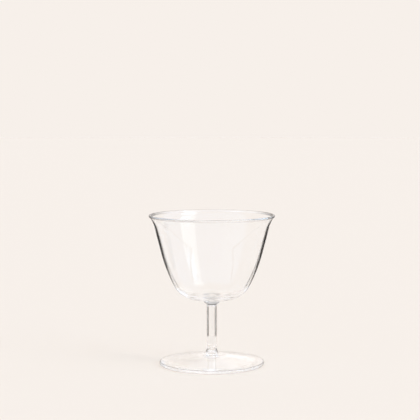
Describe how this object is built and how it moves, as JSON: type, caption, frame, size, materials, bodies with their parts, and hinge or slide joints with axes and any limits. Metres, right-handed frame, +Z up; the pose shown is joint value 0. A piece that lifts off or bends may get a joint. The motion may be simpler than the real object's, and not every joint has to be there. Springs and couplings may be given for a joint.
{
  "type": "coupe glass",
  "caption": "Clear coupe glass: a flared bowl, a collar seal, a slim hollow stem and a round foot.",
  "frame": {"origin": "centre of the ring under the foot, on the surface that the glass stands on", "axes": "+Z up along the stem, the axis about which every piece is turned"},
  "size_m": [0.097, 0.097, 0.1155],
  "materials": {
    "clear_glass": "clear, polished by the flame"
  },
  "bodies": {
    "root": {"bowl": "clear_glass", "collar": "clear_glass", "stem": "clear_glass", "base_seal": "clear_glass", "foot": "clear_glass"}
  },
  "joints": []
}
